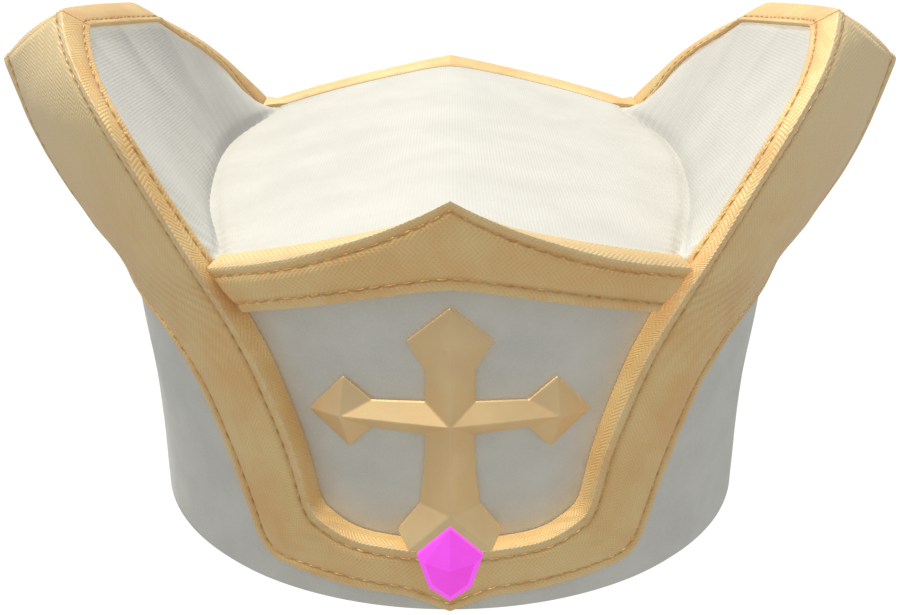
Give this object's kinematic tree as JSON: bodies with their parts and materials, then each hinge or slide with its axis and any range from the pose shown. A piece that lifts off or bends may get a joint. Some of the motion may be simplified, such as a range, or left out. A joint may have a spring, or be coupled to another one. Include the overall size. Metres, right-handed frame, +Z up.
{
  "type": "bishop mitre",
  "caption": "Round felt mitre with two hollow side horns, a closed crown, padded gold trim, a raised cross on the front panel and a cut stone below it.",
  "frame": {"origin": "on the rim's plane, under the middle of the whole mitre", "axes": "+Z up, -Y to the front where the cross is, +X to the wearer's left"},
  "size_m": [0.2762, 0.2208, 0.1561],
  "materials": {
    "felt": "stiffened white wool felt, matt",
    "cloth": "fine white wool cloth, matt",
    "gold_trim": "padded gold braid, satin",
    "gilt": "gilt brass, satin",
    "stone": "cut magenta glass, polished"
  },
  "bodies": {
    "root": {"cap_wall": "felt", "front_panel": "felt", "back_panel": "felt", "crown_top": "cloth", "front_v_band": "gold_trim", "back_v_band": "gold_trim", "horn_cap_left": "gold_trim", "horn_cap_right": "gold_trim", "brow_band": "gold_trim", "nape_band": "gold_trim", "cross": "gilt", "stone": "stone"}
  },
  "joints": []
}
